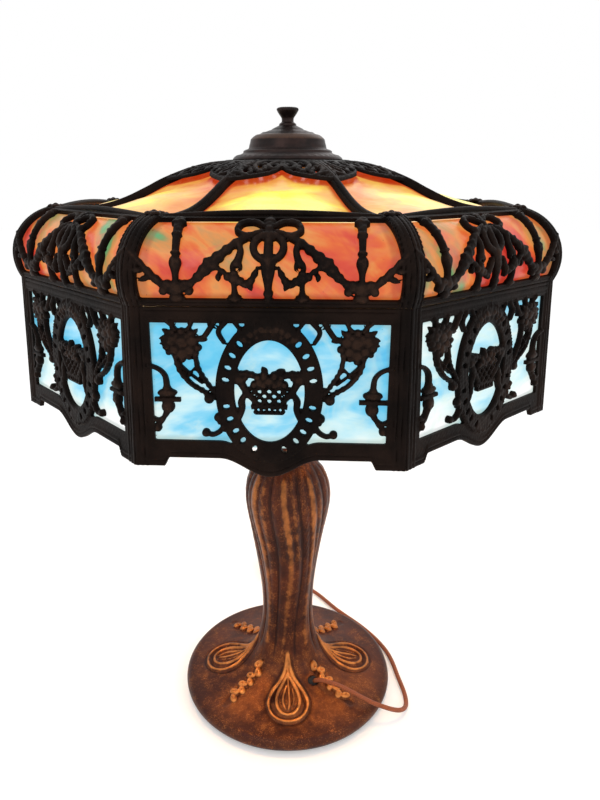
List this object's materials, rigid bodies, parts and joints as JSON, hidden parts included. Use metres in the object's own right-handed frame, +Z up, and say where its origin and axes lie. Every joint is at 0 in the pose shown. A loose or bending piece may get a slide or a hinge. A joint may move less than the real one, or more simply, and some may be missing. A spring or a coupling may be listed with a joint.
{
  "type": "stained glass table lamp",
  "caption": "Table lamp with a lit, eight-sided shade of bent and flat art glass in an openwork bronze frame, on a hollow cast foot and stem with raised seed and leaf relief.",
  "frame": {"origin": "centre of the foot's underside, on the surface that the lamp stands on", "axes": "+Z up along the stem and the shade's rod, -Y towards the front face of the shade, +X to the right seen from the front"},
  "size_m": [0.4162, 0.4461, 0.572],
  "materials": {
    "base_patina": "copper-bronze patina over cast metal, rubbed bright on the relief",
    "shade_bronze": "dark brown bronze finish, satin",
    "crown_bronze": "dark brown bronze finish, soft sheen",
    "roof_glass": "amber slag glass, lit from inside",
    "shoulder_glass": "streaked orange, coral and green slag glass",
    "skirt_glass": "streaked sky-blue and white slag glass",
    "brass_parts": "lacquered brass, slightly aged",
    "steel_parts": "zinc-plated steel",
    "liner_card": "insulating card",
    "bulb_cap": "thin screwed brass shell",
    "bulb_glass": "frosted lamp glass, lit",
    "bushing_fibre": "black fibre bushing",
    "felt": "green felt",
    "cord_cover": "brown braided cord cover",
    "tie_strap": "black woven tie",
    "plug_shell": "dark brown moulded plug"
  },
  "bodies": {
    "stand": {"base_casting": "base_patina", "felt_pad": "felt", "center_pipe": "steel_parts", "pipe_washer": "steel_parts", "pipe_locknut": "steel_parts", "cord_bushing": "bushing_fibre", "inner_lead": "cord_cover", "neck_collar": "base_patina", "cluster_body": "brass_parts", "socket_caps": "brass_parts", "socket_shells": "brass_parts", "socket_liners": "liner_card", "shade_rod": "steel_parts", "rest_nut": "brass_parts", "rest_washer": "brass_parts", "cord": "cord_cover", "cord_coil": "cord_cover", "cord_tail": "cord_cover", "coil_tie": "tie_strap", "plug_body": "plug_shell", "plug_blades": "brass_parts"},
    "shade": {"crown_cap": "crown_bronze", "top_spider": "crown_bronze", "roof_frame": "shade_bronze", "roof_filigree": "shade_bronze", "corner_rosettes": "shade_bronze", "shoulder_frames": "shade_bronze", "skirt_frames": "shade_bronze", "roof_glass_1": "roof_glass", "roof_glass_2": "roof_glass", "roof_glass_3": "roof_glass", "roof_glass_4": "roof_glass", "roof_glass_5": "roof_glass", "roof_glass_6": "roof_glass", "roof_glass_7": "roof_glass", "roof_glass_8": "roof_glass", "shoulder_glass_1": "shoulder_glass", "shoulder_glass_2": "shoulder_glass", "shoulder_glass_3": "shoulder_glass", "shoulder_glass_4": "shoulder_glass", "shoulder_glass_5": "shoulder_glass", "shoulder_glass_6": "shoulder_glass", "shoulder_glass_7": "shoulder_glass", "shoulder_glass_8": "shoulder_glass", "skirt_glass_1": "skirt_glass", "skirt_glass_2": "skirt_glass", "skirt_glass_3": "skirt_glass", "skirt_glass_4": "skirt_glass", "skirt_glass_5": "skirt_glass", "skirt_glass_6": "skirt_glass", "skirt_glass_7": "skirt_glass", "skirt_glass_8": "skirt_glass"},
    "finial": {"finial": "crown_bronze"},
    "bulb_left": {"bulb_base_left": "bulb_cap", "bulb_globe_left": "bulb_glass"},
    "bulb_right": {"bulb_base_right": "bulb_cap", "bulb_globe_right": "bulb_glass"},
    "chain_left": {"pull_chain_left": "brass_parts"},
    "chain_right": {"pull_chain_right": "brass_parts"}
  },
  "joints": [
    {"name": "shade_turn", "type": "hinge", "parent": "stand", "child": "shade", "pos_m": [0, 0, 0.53], "axis": [0, 0, 1], "continuous": true},
    {"name": "finial_turn", "type": "hinge", "parent": "stand", "child": "finial", "pos_m": [0, 0, 0.565], "axis": [0, 0, 1], "continuous": true},
    {"name": "bulb_left_unscrew", "type": "slide", "parent": "stand", "child": "bulb_left", "axis": [-0.766, 0, 0.6428], "range_m": [0, 0.018]},
    {"name": "bulb_right_unscrew", "type": "slide", "parent": "stand", "child": "bulb_right", "axis": [0.766, 0, 0.6428], "range_m": [0, 0.018]},
    {"name": "chain_left_pull", "type": "slide", "parent": "stand", "child": "chain_left", "axis": [0, 0, -1], "range_m": [0, 0.01], "stiffness_N_per_m": 600},
    {"name": "chain_right_pull", "type": "slide", "parent": "stand", "child": "chain_right", "axis": [0, 0, -1], "range_m": [0, 0.01], "stiffness_N_per_m": 600}
  ]
}
